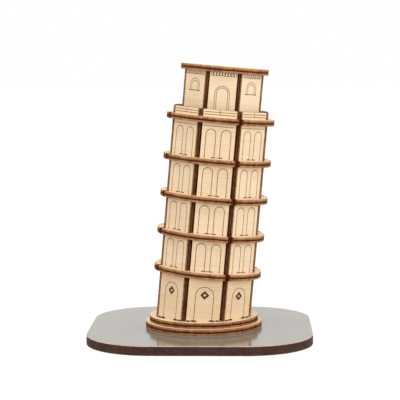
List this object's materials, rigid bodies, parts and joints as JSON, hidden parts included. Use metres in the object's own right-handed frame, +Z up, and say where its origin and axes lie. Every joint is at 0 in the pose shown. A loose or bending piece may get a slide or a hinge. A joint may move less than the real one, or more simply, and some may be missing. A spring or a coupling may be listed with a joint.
{
  "type": "leaning tower model",
  "caption": "Laser-cut plywood model of a round, leaning bell tower with engraved arcade panels, floor rings and a round cap, standing on a rounded board.",
  "frame": {"origin": "middle of the board's underside, on the surface that it stands on", "axes": "+Z up, +X to the right, the way that the tower leans, and -Y to the front"},
  "size_m": [0.116, 0.116, 0.143],
  "materials": {
    "board": "fibreboard with a satin warm-grey film on top and dark bare edges",
    "ply_panel": "pale birch plywood, engraved, with scorched brown edges",
    "ply_floor": "pale birch plywood with scorched layered edges"
  },
  "bodies": {
    "root": {"base_board": "board", "lower_base_disc": "ply_floor", "upper_base_disc": "ply_floor", "cross_plate_a": "ply_floor", "cross_plate_b": "ply_floor", "floor_ring_1": "ply_floor", "floor_ring_2": "ply_floor", "floor_ring_3": "ply_floor", "floor_ring_4": "ply_floor", "floor_ring_5": "ply_floor", "storey1_panel_front": "ply_panel", "storey1_panel_front_right": "ply_panel", "storey1_panel_right": "ply_panel", "storey1_panel_back_right": "ply_panel", "storey1_panel_back": "ply_panel", "storey1_panel_back_left": "ply_panel", "storey1_panel_left": "ply_panel", "storey1_panel_front_left": "ply_panel", "storey2_panel_front": "ply_panel", "storey2_panel_front_right": "ply_panel", "storey2_panel_right": "ply_panel", "storey2_panel_back_right": "ply_panel", "storey2_panel_back": "ply_panel", "storey2_panel_back_left": "ply_panel", "storey2_panel_left": "ply_panel", "storey2_panel_front_left": "ply_panel", "storey3_panel_front": "ply_panel", "storey3_panel_front_right": "ply_panel", "storey3_panel_right": "ply_panel", "storey3_panel_back_right": "ply_panel", "storey3_panel_back": "ply_panel", "storey3_panel_back_left": "ply_panel", "storey3_panel_left": "ply_panel", "storey3_panel_front_left": "ply_panel", "storey4_panel_front": "ply_panel", "storey4_panel_front_right": "ply_panel", "storey4_panel_right": "ply_panel", "storey4_panel_back_right": "ply_panel", "storey4_panel_back": "ply_panel", "storey4_panel_back_left": "ply_panel", "storey4_panel_left": "ply_panel", "storey4_panel_front_left": "ply_panel", "storey5_panel_front": "ply_panel", "storey5_panel_front_right": "ply_panel", "storey5_panel_right": "ply_panel", "storey5_panel_back_right": "ply_panel", "storey5_panel_back": "ply_panel", "storey5_panel_back_left": "ply_panel", "storey5_panel_left": "ply_panel", "storey5_panel_front_left": "ply_panel", "balustrade_panels": "ply_panel", "belfry_panel_front": "ply_panel", "belfry_panel_front_right": "ply_panel", "belfry_panel_right": "ply_panel", "belfry_panel_back_right": "ply_panel", "belfry_panel_back": "ply_panel", "belfry_panel_back_left": "ply_panel", "belfry_panel_left": "ply_panel", "belfry_panel_front_left": "ply_panel", "cap_plate": "ply_floor"}
  },
  "joints": []
}
